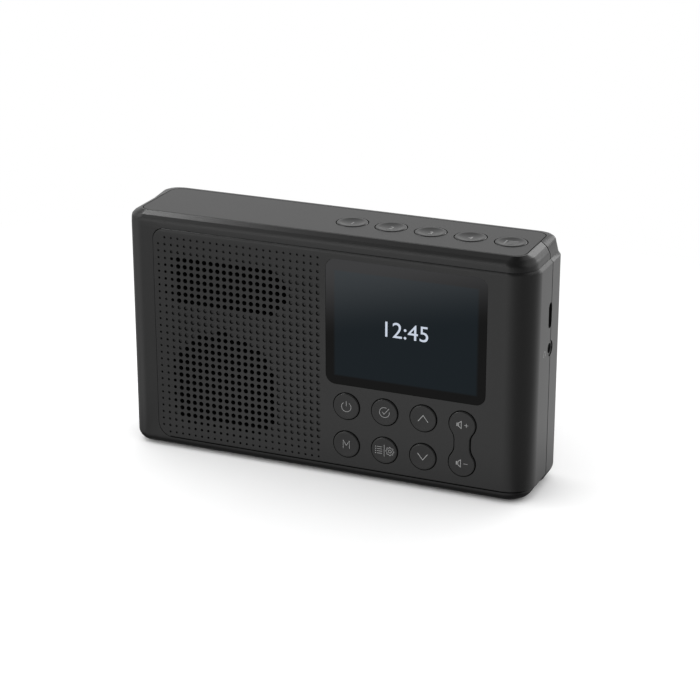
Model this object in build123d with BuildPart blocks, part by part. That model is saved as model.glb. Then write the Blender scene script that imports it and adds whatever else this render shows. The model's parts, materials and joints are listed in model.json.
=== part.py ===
import os
from math import cos, radians, sin
from typing import NamedTuple

from build123d import *

# Case: millimetres, +X to the right, -Y to the front, +Z up, standing on z = 0
case_width = 148.8
case_depth = 32.0
case_top = 87.4
foot_height = 0.6
seam_depth = 20.0
front_wall = 2.4
side_wall = 2.2
floor_wall = 2.0
top_wall = 1.8
bottom_round = 4.0
joint_gap = 0.15
seam_groove = 0.5
seam_groove_depth = 0.4

# Raised front panel, which wraps round the right corner
panel_proud = 0.9
panel_lift = 0.3
panel_thickness = 1.9
panel_gap = 0.3
panel_border = 10.9
panel_bottom = 4.5
shoulder_rise = 1.0
panel_top_corner = 4.0
panel_bottom_corner = 5.5
front_left_round = 6.5
front_right_round = 9.4
rear_round = 4.0

# Rim above the panel and the inlaid top panel
band_height = 3.6
bevel_height = 2.0
bevel_steps = 4
band_lean = 0.3
band_lean_right = 0.9
rim_lip = 0.3
rim_lip_back = 1.2
plate_inset_left = 4.7
plate_inset_right = 4.8
plate_inset_front = 2.6
plate_inset_back = 2.1
plate_corner = 4.0
plate_thickness = 2.0
plate_gap = 0.3

# Grille: a square grid of holes, open in front of the speaker and of the upper slot
hole_pitch = 2.5
grille_inset = 42.9
grille_z = 49.0
columns = range(-12, 13)
rows = range(-12, 18)
open_hole = 1.65
edge_shrink = (0.5, 0.58, 0.7)
hole_sides = 6
field_shift = 6.2
speaker_drop = 23.6
speaker_field = 21.2
slot_lift = 15.0
slot_half = 16.0
slot_field = 8.75

# Display
lens_inset = 44.3
lens_z = 56.9
lens_width = 57.4
lens_height = 44.6
lens_corner = 3.4
lens_thickness = 1.2
lens_gap = 0.12
window_width = 53.0
window_height = 39.4
module_width = 60.3
module_height = 42.7
module_thickness = 2.6
module_gap = 0.3
holder_width = 69.0
holder_height = 30.0
holder_rim = 46.4
holder_thickness = 1.2
holder_window_width = 50.0
holder_window_height = 34.0
holder_screw_x = 32.4
holder_screw_z = 11.0

# Keys
key_inset = 65.4
key_row = 12.85
key_step = 14.02
key_radius = 4.75
key_raise = 0.5
key_dish = 0.25
key_rim = 0.2
key_edge = 0.45
key_gap = 0.3
key_travel = 0.4
flange_over = 1.1
flange_thickness = 1.0
rest_gap = 0.1
stem_radius = 2.0
stem_length = 1.2
top_key_inset = 69.95
top_key_setback = 16.05
top_key_step = 14.15
top_key_radius = 5.4
top_key_raise = 0.2
top_key_dish = 0.6
top_key_rim = 0.6
rocker_column = 3
rocker_waist = 5.6
rocker_blend_share = 0.57
rocker_drop = 1.0
trunnion_radius = 1.0
trunnion_reach = 2.6
cradle_width = 2.0
cradle_height = 4.4
cradle_gap = 0.4

# Tact switches and the boards that carry them
switch_side = 6.0
switch_height = 3.4
switch_bore_depth = 1.6
switch_clearance = 0.25
plunger_radius = 1.7
plunger_out = 1.2
plunger_in = 0.6
board_thickness = 1.2
boss_radius = 1.9
screw_radius = 0.8
screw_head_radius = 1.9
screw_head = 1.2
screw_grip = 5.0
key_board_width = 67.3
key_board_inset = 11.2
key_board_bottom = 6.0
key_board_top = 33.6
end_screw_reach = 9.8
top_board_length = 70.0
top_board_inset = 7.0
top_board_width = 13.8
top_post_y = 5.2
top_opening_length = 73.1
top_opening_inset = 6.5
top_opening_width = 15.0

# Speaker
speaker_opening = 21.4
speaker_radius = 22.3
flange_ring = 2.6
speaker_flange = 1.5
basket_depth = 8.0
basket_back = 13.0
basket_wall = 0.8
basket_windows = 4
basket_window_angle = 50.0
magnet_radius = 14.5
magnet_thickness = 5.0
yoke_radius = 12.5
yoke_thickness = 1.5
cone_throat = 5.5
cone_skin = 0.5
cloth_thickness = 0.4
clamp_reach = 2.7
clamp_angle = 40.0
clamp_head_radius = 3.6

# Main board and sockets
main_board_thickness = 1.6
main_board_width = 63.5
main_board_inset = 14.0
main_board_bottom = 13.0
main_board_top = 69.5
board_screw_inset = 4.5
socket_tab_inset = 4.0
socket_tab_bottom = 45.0
socket_tab_top = 67.8
radio_can_width = 26.0
radio_can_height = 22.0
radio_can_depth = 2.6
radio_can_inset = 54.0
radio_can_z = 50.0
usb_z = 62.6
usb_width = 8.94
usb_height = 3.26
usb_length = 7.4
usb_skin = 0.35
usb_tongue = 0.7
usb_clearance = 0.15
jack_z = 50.6
jack_bore = 1.8
jack_bore_length = 14.0
jack_barrel = 2.6
jack_body_width = 6.4
jack_body_depth = 5.2
jack_body_length = 12.6
jack_recess = 0.3

# Battery
cell_radius = 9.15
cell_length = 65.0
cell_inset = 3.4
cell_setback = 16.0
cell_z = 62.0
cell_cap_radius = 4.0
cell_cap = 0.8
saddle_thickness = 1.6
saddle_step = 24.0

# Case screws and feet
case_screw_inset_left = 7.0
case_screw_inset_right = 6.6
case_screw_low = 8.6
case_screw_high_left = 48.6
case_screw_high_right = 40.0
case_screw_radius = 1.2
case_screw_head_radius = 2.2
case_screw_head = 1.6
case_screw_length = 12.0
pillar_radius = 3.0
well_radius = 2.5
well_floor = 2.0
foot_inset = 16.0
foot_inset_front = 9.0
foot_inset_rear = 8.0
foot_length = 16.0
foot_width = 4.0
foot_sunk = 0.4

# Telescopic antenna in a channel on the back, open at the left end
channel_drop = 11.2
channel_height = 8.4
channel_depth = 7.4
channel_inset = 9.5
channel_wall = 1.4
relief_angle = 45.0
relief_gap = 0.6
end_wall = 2.0
antenna_setback = 3.8
swivel_radius = 3.2
swivel_length = 7.2
swivel_gap = 0.3
shaft_radius = 1.5
running_gap = 0.05
nut_radius = 2.5
nut_thickness = 1.2
pivot_inset = 5.3
pivot_radius = 1.0
fork_slot = 2.2
fork_depth = 4.9
tongue_thickness = 2.0
tongue_radius = 2.2
root_inset = 9.5
root_length = 5.0
tube_wall = 0.35
tube_radius = 2.3
tube_inset = 10.0
section_step = 1.0
sections = 3
tip_radius = 2.3
tip_length = 3.0

# Positions that follow from the sizes above
front_y = (key_raise - case_depth) / 2
back_y = front_y + case_depth
left_x = -case_width / 2
right_x = case_width / 2
seam_y = front_y + seam_depth
wall_depth = panel_proud + front_wall
inner_front = front_y + wall_depth
inner_back = back_y - panel_proud - side_wall
band_top = case_top - bevel_height
shoulder_top = band_top - band_height
shoulder_bottom = shoulder_top - shoulder_rise
panel_left = left_x + panel_border
plate_under = case_top - plate_thickness
cavity_top = plate_under - top_wall
cavity_floor = foot_height + floor_wall
plunger_start = wall_depth + rest_gap + flange_thickness + stem_length
switch_face = plunger_start + plunger_out
key_board_depth = switch_face + switch_height
key_board_face = front_y + key_board_depth
top_plunger_start = plate_thickness + rest_gap + flange_thickness + stem_length
top_switch_face = top_plunger_start + plunger_out
top_board_face = case_top - top_switch_face - switch_height
grille_x = left_x + grille_inset
speaker_x = grille_x - field_shift
speaker_z = grille_z - speaker_drop
slot_z = grille_z + slot_lift
lens_x = right_x - lens_inset
key_column = right_x - key_inset
top_key_x = right_x - top_key_inset
top_key_y = front_y + top_key_setback
key_board_x = right_x - key_board_inset - key_board_width / 2
top_board_x = right_x - top_board_inset - top_board_length / 2
top_opening_x = right_x - top_opening_inset - top_opening_length / 2
rocker_x = key_column + rocker_column * key_step
rocker_z = key_row + key_step / 2
rocker_span = (key_step / 2) ** 2 + (rocker_waist / 2) ** 2 - key_radius**2
rocker_blend_limit = rocker_span / (2 * key_radius - rocker_waist)
rocker_blend = rocker_blend_share * rocker_blend_limit
pivot_depth = wall_depth + rocker_drop + flange_thickness / 2
trunnion_y = front_y + pivot_depth
speaker_face = front_y + wall_depth + cloth_thickness
magnet_front = speaker_face + speaker_flange + basket_depth
main_board_rear = seam_y - jack_body_depth / 2
main_board_right = right_x - main_board_inset
main_board_left = main_board_right - main_board_width
socket_tab_right = right_x - socket_tab_inset
usb_y = main_board_rear + usb_height / 2
jack_y = seam_y
cell_left = left_x + cell_inset
cell_y = front_y + cell_setback
channel_z = case_top - channel_drop
channel_end = right_x - channel_inset
antenna_y = back_y - antenna_setback
clamp_radius = speaker_radius + clamp_reach
front_plane = Plane.XZ.offset(-front_y)
antenna_plane = Plane(origin=(0, antenna_y, channel_z), x_dir=(0, 1, 0), z_dir=(1, 0, 0))
pivot_x = channel_end - pivot_inset
relief_start = Vector(0, tube_radius + relief_gap).rotate(Axis.Z, relief_angle)
relief_run = Vector(2 * antenna_setback + tube_radius, 0).rotate(Axis.Z, relief_angle)
keys = {
    "power": (0, 1),
    "confirm": (1, 1),
    "up": (2, 1),
    "mode": (0, 0),
    "menu": (1, 0),
    "down": (2, 0),
}


class Outline(NamedTuple):
    left: float
    right: float
    front: float
    back: float
    corners: tuple

    def grown(self, amount):
        # The same outline moved outwards all round
        corners = tuple(radius + amount for radius in self.corners)
        sides = (self.left - amount, self.right + amount, self.front - amount, self.back + amount)
        return Outline(*sides, corners)

    def blended(self, other, share):
        # An outline part of the way to another one
        sides = [a + (b - a) * share for a, b in zip(self[:4], other[:4])]
        corners = tuple(a + (b - a) * share for a, b in zip(self.corners, other.corners))
        return Outline(*sides, corners)


main = Outline(
    left_x,
    right_x,
    front_y,
    back_y,
    (front_left_round, front_right_round, rear_round, rear_round),
)
frame = Outline(
    main.left,
    main.right - panel_proud,
    main.front + panel_lift,
    main.back,
    (front_left_round, front_right_round - panel_proud, rear_round - panel_lift, rear_round),
)
band = Outline(
    frame.left + band_lean,
    frame.right - band_lean_right,
    frame.front + band_lean,
    frame.back - band_lean,
    tuple(radius - band_lean for radius in frame.corners),
)
plate = Outline(
    left_x + plate_inset_left,
    right_x - plate_inset_right,
    front_y + plate_inset_front,
    back_y - plate_inset_back,
    (plate_corner,) * 4,
)
rim_edge = Outline(
    plate.left - plate_gap - rim_lip,
    plate.right + plate_gap + rim_lip,
    plate.front - plate_gap - rim_lip,
    plate.back + plate_gap + rim_lip_back,
    (plate_corner,) * 4,
)
cavity = Outline(
    frame.left + side_wall,
    frame.right - side_wall,
    inner_front,
    inner_back,
    tuple(radius - side_wall for radius in frame.corners),
)


def draw(outline, height):
    # A horizontal outline with its own round at each corner
    spots = (
        (outline.left, outline.front),
        (outline.right, outline.front),
        (outline.right, outline.back),
        (outline.left, outline.back),
    )
    with BuildSketch(Plane.XY.offset(height)) as sketch:
        with BuildLine():
            Polyline(*spots, close=True)
        make_face()
        for spot, radius in zip(spots, outline.corners):
            fillet(sketch.vertices().sort_by_distance(spot)[0], radius)
    return sketch.sketch


def top_rim(inset):
    # Band above the shoulder, then a rounded bevel up to the edge of the top panel
    loft([draw(frame.grown(-inset), shoulder_top), draw(band.grown(-inset), band_top)], ruled=True)
    for step in range(bevel_steps):
        sections = []
        for turn in (90 * step / bevel_steps, 90 * (step + 1) / bevel_steps):
            outline = band.blended(rim_edge, 1 - cos(radians(turn)))
            sections.append(draw(outline.grown(-inset), band_top + bevel_height * sin(radians(turn))))
        loft(sections, ruled=True)


def panel_profile(gap, top_gap):
    # Front view of the panel: rounded at the left, running past the right side
    with BuildSketch(Plane.XZ.offset(-seam_y)) as sketch:
        left = panel_left - gap
        low = panel_bottom - gap
        high = shoulder_top + top_gap
        with BuildLine():
            Polyline((left, low), (case_width, low), (case_width, high), (left, high), close=True)
        make_face()
        fillet(sketch.vertices().sort_by_distance((left, low))[0], panel_bottom_corner)
        fillet(sketch.vertices().sort_by_distance((left, high))[0], panel_top_corner)
    extrude(sketch.sketch, amount=case_depth, mode=Mode.INTERSECT)


def rocker_outline(gap):
    # Two round ends joined by a narrow waist
    end_radius = key_radius + gap
    with BuildSketch(front_plane) as sketch:
        with Locations((rocker_x, key_row), (rocker_x, key_row + key_step)):
            Circle(end_radius)
        with Locations((rocker_x, rocker_z)):
            Rectangle(rocker_waist + 2 * gap, key_step)
        fillet(sketch.vertices(), rocker_blend - gap)
    return sketch.sketch


def key_spot(name):
    column, row = keys[name]
    return (key_column + column * key_step, key_row + row * key_step)


def hole_groups():
    # Open grille holes by diameter: those near the left, top and bottom edges are smaller
    groups = {}
    for column in columns:
        for row in rows:
            x = grille_x + hole_pitch * column
            z = grille_z - hole_pitch * row
            in_speaker = (x - speaker_x) ** 2 + (z - speaker_z) ** 2 < speaker_field**2
            past_end = max(abs(x - speaker_x) - slot_half, 0.0)
            in_slot = past_end**2 + (z - slot_z) ** 2 < slot_field**2
            if in_speaker or in_slot:
                from_edge = min(column - columns[0], row - rows[0], rows[-1] - row)
                scale = edge_shrink[from_edge] if from_edge < len(edge_shrink) else 1.0
                groups.setdefault(open_hole * scale, []).append((x, z))
    return groups


def upper_slot(gap):
    with Locations((speaker_x, slot_z)):
        SlotCenterToCenter(2 * slot_half, 2 * (slot_field + gap))


def finish(part, name):
    part.label = name
    export_step(part, f"parts/{name}.step")


os.makedirs("parts", exist_ok=True)

# Screw places, shared by bosses, boards and screws
key_board_spots = (
    (key_column - end_screw_reach, rocker_z),
    (key_column + 1.5 * key_step, rocker_z),
    (rocker_x + end_screw_reach, rocker_z),
)
top_board_spots = tuple(
    (top_key_x + step * top_key_step, top_key_y + side * top_post_y)
    for step in (0.5, 3.5)
    for side in (-1, 1)
)
holder_spots = tuple(
    (lens_x + side * holder_screw_x, lens_z + level * holder_screw_z) for side in (-1, 1) for level in (-1, 1)
)
clamp_spots = tuple(
    (
        speaker_x + side * clamp_radius * cos(radians(clamp_angle)),
        speaker_z + level * clamp_radius * sin(radians(clamp_angle)),
    )
    for side in (-1, 1)
    for level in (-1, 1)
)
main_board_spots = tuple(
    (x, z)
    for x in (main_board_left + board_screw_inset, main_board_right - board_screw_inset)
    for z in (main_board_bottom + board_screw_inset, main_board_top - board_screw_inset)
)
case_screw_spots = (
    (left_x + case_screw_inset_left, case_screw_low),
    (left_x + case_screw_inset_left, case_screw_high_left),
    (right_x - case_screw_inset_right, case_screw_low),
    (right_x - case_screw_inset_right, case_screw_high_right),
)
foot_xs = (left_x + foot_inset, right_x - foot_inset)
front_foot_spots = tuple((x, front_y + foot_inset_front) for x in foot_xs)
rear_foot_spots = tuple((x, back_y - foot_inset_rear) for x in foot_xs)

# Pocket that the front panel sits in
with BuildPart() as panel_pocket:
    pocket_low = panel_bottom - panel_gap
    pocket_height = shoulder_top + joint_gap - pocket_low
    extrude(draw(main.grown(panel_proud), pocket_low), amount=pocket_height)
    extrude(draw(main.grown(-panel_thickness), pocket_low), amount=pocket_height, mode=Mode.SUBTRACT)
    panel_profile(panel_gap, joint_gap)

# Front panel: grille, lens recess, display window, key holes, and half of the socket holes
with BuildPart() as front_panel:
    extrude(draw(main, panel_bottom), amount=shoulder_bottom - panel_bottom)
    loft([draw(main, shoulder_bottom), draw(frame, shoulder_top)], ruled=True)
    panel_height = shoulder_top - panel_bottom
    extrude(draw(main.grown(-panel_thickness), panel_bottom), amount=panel_height, mode=Mode.SUBTRACT)
    panel_profile(0, 0)
    with BuildSketch(front_plane):
        with Locations((lens_x, lens_z)):
            RectangleRounded(lens_width + 2 * lens_gap, lens_height + 2 * lens_gap, lens_corner + lens_gap)
    extrude(amount=-lens_thickness, mode=Mode.SUBTRACT)
    with BuildSketch(front_plane):
        with Locations((lens_x, lens_z)):
            Rectangle(window_width, window_height)
        with Locations(*[key_spot(name) for name in keys]):
            Circle(key_radius + key_gap)
    extrude(amount=-panel_thickness, mode=Mode.SUBTRACT)
    extrude(rocker_outline(key_gap), amount=-panel_thickness, mode=Mode.SUBTRACT)
    for diameter, spots in hole_groups().items():
        with BuildSketch(front_plane):
            with Locations(*spots):
                RegularPolygon(diameter / 2, hole_sides)
        extrude(amount=-panel_thickness, mode=Mode.SUBTRACT)
    with BuildSketch(Plane.YZ.offset(main.right)):
        with Locations((usb_y, usb_z)):
            SlotOverall(usb_width, usb_height, rotation=90)
        with Locations((jack_y, jack_z)):
            Circle(jack_barrel + usb_clearance)
    extrude(amount=-panel_thickness, mode=Mode.SUBTRACT)
finish(front_panel.part, "front_panel")

# Front shell: frame round the panel, open at the seam, with bosses for everything the front carries
with BuildPart() as front_shell:
    extrude(draw(frame, foot_height), amount=shoulder_top - foot_height)
    fillet(front_shell.edges().group_by(Axis.Z)[0], bottom_round)
    top_rim(0)
    split(bisect_by=Plane.XZ.offset(-seam_y), keep=Keep.TOP)
    extrude(draw(cavity, cavity_floor), amount=cavity_top - cavity_floor, mode=Mode.SUBTRACT)
    extrude(draw(plate.grown(plate_gap), plate_under), amount=plate_thickness, mode=Mode.SUBTRACT)
    with BuildSketch(Plane.XY.offset(plate_under)):
        with Locations((top_opening_x, top_key_y)):
            Rectangle(top_opening_length, top_opening_width)
    extrude(amount=-top_wall, mode=Mode.SUBTRACT)
    with BuildSketch(Plane.XZ.offset(-inner_front)):
        with Locations(*key_board_spots):
            Circle(boss_radius)
    extrude(amount=front_y - inner_front + key_board_depth, dir=(0, 1, 0))
    with BuildSketch(Plane.XZ.offset(-inner_front)):
        with Locations(*holder_spots):
            Circle(boss_radius)
    extrude(amount=panel_thickness + module_thickness - wall_depth, dir=(0, 1, 0))
    with BuildSketch(Plane.XZ.offset(-inner_front)):
        with Locations(*clamp_spots):
            Circle(boss_radius)
    extrude(amount=cloth_thickness + speaker_flange, dir=(0, 1, 0))
    with BuildSketch(Plane.XZ.offset(-inner_front)):
        with Locations(*case_screw_spots):
            Circle(pillar_radius)
    extrude(amount=seam_y - inner_front, dir=(0, 1, 0))
    add(panel_pocket.part, mode=Mode.SUBTRACT)
    with BuildSketch(Plane.XZ.offset(-inner_front)):
        for side in (-1, 1):
            reach = rocker_waist / 2 + flange_over + cradle_gap + cradle_width / 2
            with Locations((rocker_x + side * reach, rocker_z)):
                Rectangle(cradle_width, cradle_height)
    extrude(amount=pivot_depth - wall_depth + cradle_height / 2, dir=(0, 1, 0))
    with Locations(Plane(origin=(rocker_x, trunnion_y, rocker_z), z_dir=(1, 0, 0))):
        trunnion_room = 2 * (rocker_waist + cradle_width + cradle_gap)
        Cylinder(trunnion_radius + running_gap, trunnion_room, mode=Mode.SUBTRACT)
    with BuildSketch(Plane.XZ.offset(-front_y - panel_thickness)):
        with Locations((lens_x, lens_z)):
            Rectangle(module_width + 2 * module_gap, module_height + 2 * module_gap)
        with Locations(*[key_spot(name) for name in keys]):
            Circle(key_radius + key_gap)
        with Locations((speaker_x, speaker_z)):
            Circle(speaker_opening)
        upper_slot(hole_pitch / 2)
    extrude(amount=wall_depth - panel_thickness, dir=(0, 1, 0), mode=Mode.SUBTRACT)
    extrude(rocker_outline(key_gap), amount=-wall_depth, mode=Mode.SUBTRACT)
    with BuildSketch(Plane.XZ.offset(-key_board_face)):
        with Locations(*key_board_spots):
            Circle(screw_radius)
    extrude(amount=screw_grip, mode=Mode.SUBTRACT)
    with BuildSketch(Plane.XZ.offset(-front_y - panel_thickness - module_thickness)):
        with Locations(*holder_spots):
            Circle(screw_radius)
    extrude(amount=module_thickness, mode=Mode.SUBTRACT)
    with BuildSketch(Plane.XZ.offset(-speaker_face - speaker_flange)):
        with Locations(*clamp_spots):
            Circle(screw_radius)
    extrude(amount=cloth_thickness + speaker_flange, mode=Mode.SUBTRACT)
    with BuildSketch(Plane.XZ.offset(-seam_y)):
        with Locations(*case_screw_spots):
            Circle(case_screw_radius)
    extrude(amount=case_screw_length, mode=Mode.SUBTRACT)
    with BuildSketch(Plane.YZ.offset(frame.right)):
        with Locations((usb_y, usb_z)):
            Rectangle(usb_height + 2 * usb_clearance, usb_width + 2 * usb_clearance)
        with Locations((jack_y, jack_z)):
            Circle(jack_barrel + usb_clearance)
    extrude(amount=-(frame.right - cavity.right), mode=Mode.SUBTRACT)
    with BuildSketch(Plane.XY.offset(foot_height)):
        with Locations(*front_foot_spots):
            SlotOverall(foot_length, foot_width)
    extrude(amount=foot_sunk, mode=Mode.SUBTRACT)
finish(front_shell.part, "front_shell")

# Shallow groove that runs round the rear cover along the seam
with BuildPart() as parting_groove:
    with BuildSketch(Plane.XZ.offset(-seam_y)):
        Rectangle(2 * case_width, 3 * case_top)
    extrude(amount=-seam_groove)
with BuildPart() as groove_core:
    core_floor = foot_height + seam_groove_depth
    extrude(draw(frame.grown(-seam_groove_depth), core_floor), amount=shoulder_top - core_floor)
    fillet(groove_core.edges().group_by(Axis.Z)[0], bottom_round)
    top_rim(seam_groove_depth)

# Rear cover: raised like the panel at the right, with the antenna channel, pillars and battery saddles
with BuildPart() as rear_cover:
    extrude(draw(main, foot_height), amount=shoulder_bottom - foot_height)
    fillet(rear_cover.edges().group_by(Axis.Z)[0], bottom_round + panel_proud)
    loft([draw(main, shoulder_bottom), draw(frame, shoulder_top)], ruled=True)
    top_rim(0)
    split(bisect_by=Plane.XZ.offset(-seam_y), keep=Keep.BOTTOM)
    extrude(draw(cavity, cavity_floor), amount=cavity_top - cavity_floor, mode=Mode.SUBTRACT)
    extrude(draw(plate.grown(plate_gap), plate_under), amount=plate_thickness, mode=Mode.SUBTRACT)
    with BuildSketch(Plane.XY.offset(plate_under)):
        with Locations((top_opening_x, top_key_y)):
            Rectangle(top_opening_length, top_opening_width)
    extrude(amount=-top_wall, mode=Mode.SUBTRACT)
    with BuildSketch(Plane.XZ.offset(-inner_back)):
        with Locations(((frame.left + side_wall + channel_end + end_wall) / 2, channel_z)):
            Rectangle(channel_end + end_wall - frame.left - side_wall, channel_height + 2 * channel_wall)
    extrude(amount=inner_back - (back_y - channel_depth - channel_wall))
    with BuildSketch(Plane.XZ.offset(-inner_back)):
        with Locations(*case_screw_spots):
            Circle(pillar_radius)
    extrude(amount=inner_back - seam_y)
    with BuildSketch(Plane.XZ.offset(-inner_back)):
        with Locations(*main_board_spots):
            Circle(boss_radius)
    extrude(amount=inner_back - main_board_rear)
    with BuildSketch(Plane.YZ.offset(cell_left + cell_length / 2)) as saddles:
        with Locations(((seam_y + inner_back) / 2, cell_z)):
            Rectangle(inner_back - seam_y, 1.6 * cell_radius)
        with Locations((cell_y, cell_z)):
            Circle(cell_radius + rest_gap, mode=Mode.SUBTRACT)
    for step in (-1, 0, 1):
        saddle = saddles.sketch.moved(Location((step * saddle_step, 0, 0)))
        extrude(saddle, amount=saddle_thickness / 2, both=True)
    with BuildSketch(Plane.XZ.offset(-back_y)):
        with Locations(((channel_end + 2 * main.left) / 2, channel_z)):
            Rectangle(channel_end - 2 * main.left, channel_height)
    extrude(amount=channel_depth, mode=Mode.SUBTRACT)
    with BuildSketch(antenna_plane.offset(pivot_x)):
        with BuildLine():
            Polyline((0, 0), relief_start, relief_start + relief_run, (relief_run.X, 0), close=True)
        make_face()
    extrude(amount=tube_radius + relief_gap, both=True, mode=Mode.SUBTRACT)
    with Locations(Plane(origin=(channel_end + end_wall / 2, antenna_y, channel_z), z_dir=(1, 0, 0))):
        Cylinder(shaft_radius + running_gap, 2 * end_wall, mode=Mode.SUBTRACT)
    with BuildSketch(antenna_plane.offset(channel_end + end_wall)):
        Circle(nut_radius + swivel_gap)
    extrude(amount=nut_thickness + swivel_gap, mode=Mode.SUBTRACT)
    with BuildSketch(Plane.XZ.offset(-back_y)):
        with Locations(*case_screw_spots):
            Circle(well_radius)
    extrude(amount=back_y - seam_y - well_floor, mode=Mode.SUBTRACT)
    with BuildSketch(Plane.XZ.offset(-seam_y)):
        with Locations(*case_screw_spots):
            Circle(case_screw_radius + rest_gap)
    extrude(amount=well_floor, dir=(0, 1, 0), mode=Mode.SUBTRACT)
    with BuildSketch(Plane.XZ.offset(-main_board_rear)):
        with Locations(*main_board_spots):
            Circle(screw_radius)
    extrude(amount=screw_grip, dir=(0, 1, 0), mode=Mode.SUBTRACT)
    with BuildSketch(Plane.YZ.offset(main.right)):
        with Locations((usb_y, usb_z)):
            SlotOverall(usb_width + 2 * usb_clearance, usb_height + 2 * usb_clearance, rotation=90)
        with Locations((jack_y, jack_z)):
            Circle(jack_barrel + usb_clearance)
    extrude(amount=-(main.right - cavity.right), mode=Mode.SUBTRACT)
    with BuildSketch(Plane.XY.offset(foot_height)):
        with Locations(*rear_foot_spots):
            SlotOverall(foot_length, foot_width)
    extrude(amount=foot_sunk, mode=Mode.SUBTRACT)
    add(parting_groove.part - groove_core.part, mode=Mode.SUBTRACT)
finish(rear_cover.part, "rear_cover")

# Top panel: inlaid plate with five key holes and posts for its board
with BuildPart() as top_panel:
    extrude(draw(plate, plate_under), amount=plate_thickness)
    with BuildSketch(Plane.XY.offset(plate_under)):
        with Locations(*top_board_spots):
            Circle(boss_radius)
    extrude(amount=-(plate_under - top_board_face))
    with BuildSketch(Plane.XY.offset(top_board_face)):
        with Locations(*top_board_spots):
            Circle(screw_radius)
    extrude(amount=screw_grip, mode=Mode.SUBTRACT)
    with BuildSketch(Plane.XY.offset(case_top)):
        with Locations(*[(top_key_x + step * top_key_step, top_key_y) for step in range(5)]):
            Circle(top_key_radius + key_gap)
    extrude(amount=-plate_thickness, mode=Mode.SUBTRACT)
finish(top_panel.part, "top_panel")

# Rubber feet, half sunk in the floor
with BuildPart() as base_feet:
    with BuildSketch(Plane.XY):
        with Locations(*front_foot_spots, *rear_foot_spots):
            SlotOverall(foot_length - 2 * joint_gap, foot_width - 2 * joint_gap)
    extrude(amount=foot_height + foot_sunk)
finish(base_feet.part, "base_feet")

# Display lens, set into the panel
with BuildPart() as display_lens:
    with BuildSketch(front_plane):
        with Locations((lens_x, lens_z)):
            RectangleRounded(lens_width, lens_height, lens_corner)
    extrude(amount=-lens_thickness)
finish(display_lens.part, "display_lens")

# Display module behind the panel
with BuildPart() as display_module:
    with BuildSketch(Plane.XZ.offset(-front_y - panel_thickness)):
        with Locations((lens_x, lens_z)):
            Rectangle(module_width, module_height)
    extrude(amount=-module_thickness)
finish(display_module.part, "display_module")

# Holder that presses the display module forwards
with BuildPart() as display_holder:
    with BuildSketch(Plane.XZ.offset(-front_y - panel_thickness - module_thickness)):
        with Locations((lens_x, lens_z)):
            Rectangle(module_width + 2 * module_gap, holder_rim)
            Rectangle(holder_width, holder_height)
            Rectangle(holder_window_width, holder_window_height, mode=Mode.SUBTRACT)
        with Locations(*holder_spots):
            Circle(screw_radius + rest_gap, mode=Mode.SUBTRACT)
    extrude(amount=-holder_thickness)
finish(display_holder.part, "display_holder")

# Acoustic cloth behind the open holes
with BuildPart() as speaker_cloth:
    with BuildSketch(Plane.XZ.offset(-inner_front)):
        with Locations((speaker_x, speaker_z)):
            Circle(speaker_radius)
    extrude(amount=-cloth_thickness)
finish(speaker_cloth.part, "speaker_cloth")

with BuildPart() as slot_cloth:
    with BuildSketch(Plane.XZ.offset(-inner_front)):
        upper_slot(hole_pitch)
    extrude(amount=-cloth_thickness)
finish(slot_cloth.part, "slot_cloth")

# Speaker, turned about its own axis: radius across, depth towards the back
speaker_plane = Plane(origin=(speaker_x, speaker_face, speaker_z), x_dir=(1, 0, 0), z_dir=(0, 0, 1))
speaker_axis = Axis(speaker_plane.origin, (0, 1, 0))
ring_inner = speaker_radius - flange_ring

with BuildPart() as speaker_frame:
    with BuildSketch(speaker_plane):
        with BuildLine():
            Polyline(
                (ring_inner, 0),
                (speaker_radius, 0),
                (speaker_radius, speaker_flange),
                (ring_inner + basket_wall, speaker_flange),
                (basket_back, speaker_flange + basket_depth),
                (cone_throat + cone_skin, speaker_flange + basket_depth),
                (cone_throat + cone_skin, speaker_flange + basket_depth - basket_wall),
                (basket_back - basket_wall, speaker_flange + basket_depth - basket_wall),
                (ring_inner, speaker_flange),
                close=True,
            )
        make_face()
    revolve(axis=speaker_axis)
    window_inner = basket_back + basket_wall
    window_outer = ring_inner - basket_wall
    with BuildSketch(Plane.XZ.offset(-speaker_face - speaker_flange - basket_depth)):
        with Locations((speaker_x, speaker_z)):
            with PolarLocations((window_inner + window_outer) / 2, basket_windows):
                Rectangle(window_outer - window_inner, window_inner)
    extrude(amount=basket_depth, mode=Mode.SUBTRACT)
finish(speaker_frame.part, "speaker_frame")

with BuildPart() as speaker_magnet:
    with BuildSketch(Plane.XZ.offset(-magnet_front)):
        with Locations((speaker_x, speaker_z)):
            Circle(magnet_radius)
    extrude(amount=-magnet_thickness)
    with BuildSketch(Plane.XZ.offset(-magnet_front - magnet_thickness)):
        with Locations((speaker_x, speaker_z)):
            Circle(yoke_radius)
    extrude(amount=-yoke_thickness)
finish(speaker_magnet.part, "speaker_magnet")

with BuildPart() as speaker_cone:
    with BuildSketch(speaker_plane):
        with BuildLine():
            surround_inner = ring_inner - 3 * cone_skin - 2 * basket_wall
            throat_depth = speaker_flange + basket_depth - 2 * basket_wall
            Polyline(
                (ring_inner, speaker_flange - cone_skin),
                (ring_inner, speaker_flange),
                (surround_inner, speaker_flange + cone_skin),
                (cone_throat, throat_depth),
                (0, throat_depth - 2 * cone_skin),
                (0, throat_depth - 3 * cone_skin),
                (cone_throat, throat_depth - cone_skin),
                (surround_inner, speaker_flange - cone_skin),
            )
            ThreePointArc(
                (surround_inner, speaker_flange - cone_skin),
                ((surround_inner + ring_inner) / 2, speaker_flange - 2 * cone_skin),
                (ring_inner, speaker_flange - cone_skin),
            )
        make_face()
    revolve(axis=speaker_axis)
finish(speaker_cone.part, "speaker_cone")


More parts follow.
